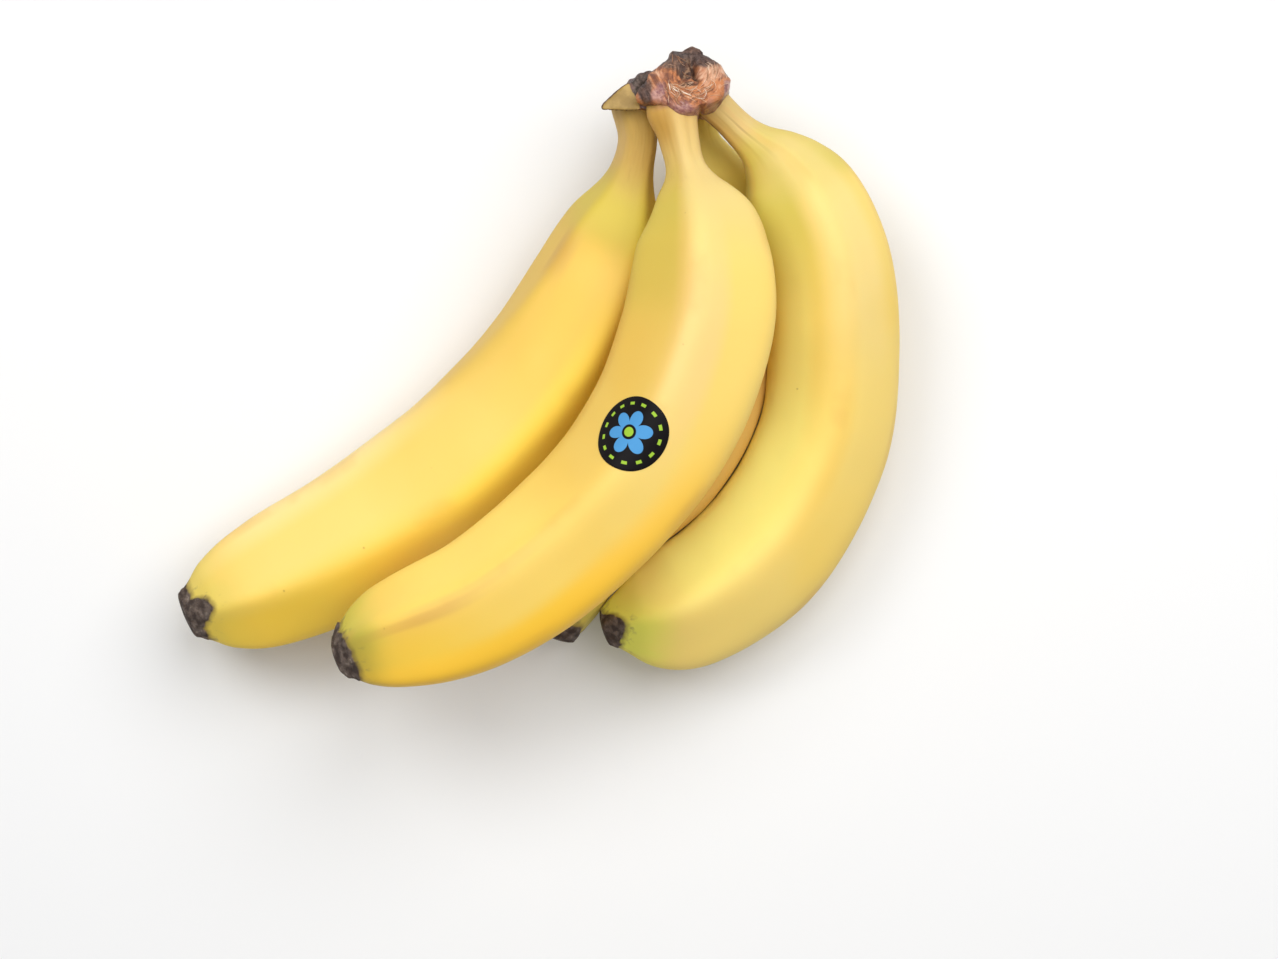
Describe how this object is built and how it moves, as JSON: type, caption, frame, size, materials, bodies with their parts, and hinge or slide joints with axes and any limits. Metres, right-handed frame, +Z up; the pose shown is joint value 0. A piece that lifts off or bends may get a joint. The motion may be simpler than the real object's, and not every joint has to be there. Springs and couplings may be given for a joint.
{
  "type": "bunch of bananas",
  "caption": "Small hand of ripe yellow bananas lying on its side, joined at a brown fibrous crown, with a round fruit label.",
  "frame": {"origin": "on the table under the middle of the bunch's bounding box", "axes": "+Z up from the table, +X along the bunch's greatest length, towards the outer curve of the right-hand banana, +Y towards the crown"},
  "size_m": [0.19, 0.1644, 0.074],
  "materials": {
    "skin_left": "waxy satin banana skin, yellow with a green tint at the neck and a dark blossom end",
    "skin_middle": "waxy satin banana skin, paler yellow, olive on its shaded side",
    "skin_right": "waxy satin banana skin, yellow with a green tint at the neck and tip",
    "skin_back": "waxy satin banana skin, greener than the others",
    "crown": "dried, torn and fibrous cut stem",
    "label": "semi-gloss printed film"
  },
  "bodies": {
    "root": {"banana_left": "skin_left", "banana_middle": "skin_middle", "banana_right": "skin_right", "banana_back": "skin_back", "crown": "crown", "sticker": "label"}
  },
  "joints": []
}
